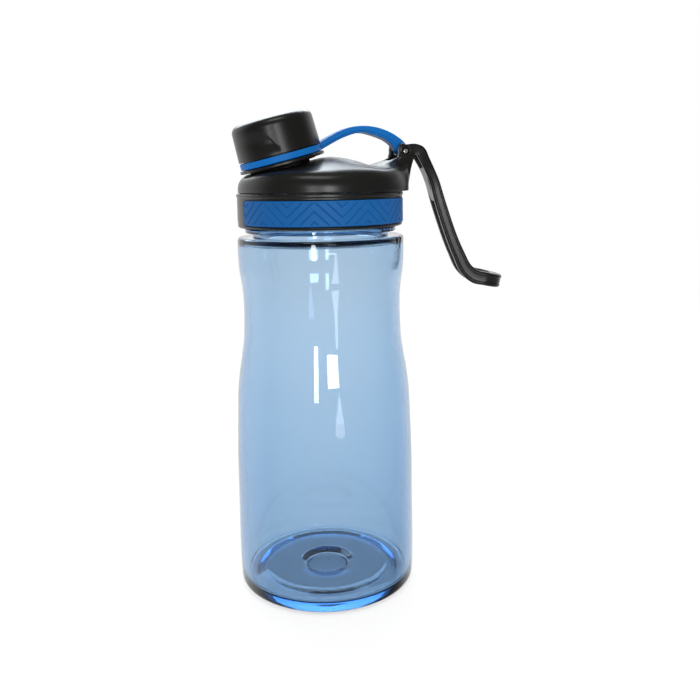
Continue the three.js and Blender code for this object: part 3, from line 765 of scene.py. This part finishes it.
# Where points of the loop stand once the arms, past a certain x, have turned sideways.
def turnedAside(x, y, z, p):
    beyond = np.maximum(x - p["turnFrom"], 0)
    ramp = 1 - np.exp(-beyond / p["turnEase"])
    return np.stack([x + p["turn"] * ramp * y, y - p["turn"] * (beyond - p["turnEase"] * ramp), z], -1)


def makeLoop(p):
    arm = curve(p["arm"], 150)
    along = np.gradient(arm[:, [0, 1]], axis=0)
    along /= np.linalg.norm(along, axis=1)[:, None]
    deep = np.stack([-along[:, 1], along[:, 0]], 1)
    bend = np.linspace(-math.pi / 2, math.pi / 2, 60)[1:-1]
    end, heading = arm[-1], along[-1]
    turnRows = np.repeat(end[None], len(bend), 0)
    turnRows[:, :2] += end[2] * np.cos(bend)[:, None] * heading
    turnRows[:, 2] *= np.sin(bend)
    near = arm.copy()
    near[:, 2] *= -1
    rows = np.concatenate([near, turnRows, arm[::-1]])
    deep = np.concatenate([deep, np.repeat(deep[-1:], len(bend), 0), deep[::-1]])
    centre = turnedAside(rows[:, 0], rows[:, 2], rows[:, 1], p)
    forward = np.gradient(centre, axis=0)
    forward /= np.linalg.norm(forward, axis=1)[:, None]
    beyond = np.maximum(rows[:, 0] - p["turnFrom"], 0)
    aside = math.atan(p["turn"]) * (1 - np.exp(-beyond / p["turnEase"]))
    deep = np.stack([deep[:, 0] * np.cos(aside), -deep[:, 0] * np.sin(aside), deep[:, 1]], 1)
    wide = np.cross(forward, deep)
    wide /= np.linalg.norm(wide, axis=1)[:, None]
    angle = np.linspace(0, 2 * math.pi, 73)[:-1]
    w = np.sign(np.cos(angle)) * np.abs(np.cos(angle)) ** p["squareness"]
    n = np.sign(np.sin(angle)) * np.abs(np.sin(angle)) ** p["squareness"]
    # A shallow channel runs down both side faces of the lower arms.
    hollow = p["channel"] * smoothStep(0.62, 0.4, np.abs(n)) * smoothStep(1.6, 2.1, rows[:, 3])[:, None]
    rings = (centre[:, None] + wide[:, None] * (rows[:, 3:4] * w - hollow * np.sign(w))[..., None]
             + deep[:, None] * (rows[:, 4:5] / 2 * n)[..., None])
    makePiece("carryLoop", loft(rings), "black", "carry_loop", "carry_loop")
    web = filleted(p["web"])
    y = np.linspace(*p["webReach"], 12)[:, None]
    x, z = (np.broadcast_to(web[None, :, k], (len(y), len(web))) for k in (0, 1))
    makePiece("loopWeb", loft(turnedAside(x, y + 0 * x, z, p)), "black", "carry_loop", "carry_loop")


makeLoop(loop)


# Floor and surroundings

floor = {"half": 12, "below": 0.0003, "grey": 0.95, "open": 0.16, "underBottle": 0.5,
         "bottleReach": (0.034, 0.046), "fade": (0.45, 1.1)}
surroundings = {"dim": 0.1, "behind": (-0.1, 0.6), "low": (0.35, 0.8)}


# A pale sheet, mostly clear so that only a trace of shadow shows. It fades out with distance.
def makeFloor(f):
    mesh = bpy.data.meshes.new("floor")
    half, level = f["half"], -f["below"]
    corners = [(-half, -half, level), (half, -half, level), (half, half, level), (-half, half, level)]
    mesh.from_pydata(corners, [], [(0, 1, 2, 3)])
    obj = bpy.data.objects.new("floor", mesh)
    scene.collection.objects.link(obj)
    material, shader, place = startMaterial("paleFloor")
    shader.inputs["Base Color"].default_value = (f["grey"], f["grey"], f["grey"], 1)
    shader.inputs["Roughness"].default_value = 0.8
    shader.inputs["Specular IOR Level"].default_value = 0.1
    reach = place.node("VectorMath", {"operation": "LENGTH"}, out=1, i0=place)
    under = (1.0 - reach.between(*f["bottleReach"])) * f["underBottle"]
    feed(place, shader, "Alpha", f["open"] + under - reach.between(*f["fade"]) * f["open"])
    mesh.materials.append(material)


# White all round, but first reflections see it bright only low behind the object.
def makeWorld(w):
    world = bpy.data.worlds.new("studio")
    scene.world = world
    world.use_nodes = True
    tree = world.node_tree
    background = tree.nodes["Background"]
    path = tree.nodes.new("ShaderNodeLightPath")
    crossed = Wire(tree, path.outputs["Transmission Depth"])
    glossy = Wire(tree, path.outputs["Is Glossy Ray"]) * (1.0 - crossed.maths("MINIMUM", crossed, 1.0))
    heading = Wire(tree, tree.nodes.new("ShaderNodeTexCoord").outputs["Generated"])
    behind = heading.node("SeparateXYZ", out=1, Vector=heading).between(*w["behind"])
    raised = heading.node("SeparateXYZ", out=2, Vector=heading).between(*w["low"])
    bright = w["dim"] + behind * (1.0 - raised) * (1 - w["dim"])
    tree.links.new((1.0 - glossy * (1.0 - bright)).socket, background.inputs["Strength"])
    background.inputs["Color"].default_value = (1, 1, 1, 1)


makeFloor(floor)
makeWorld(surroundings)
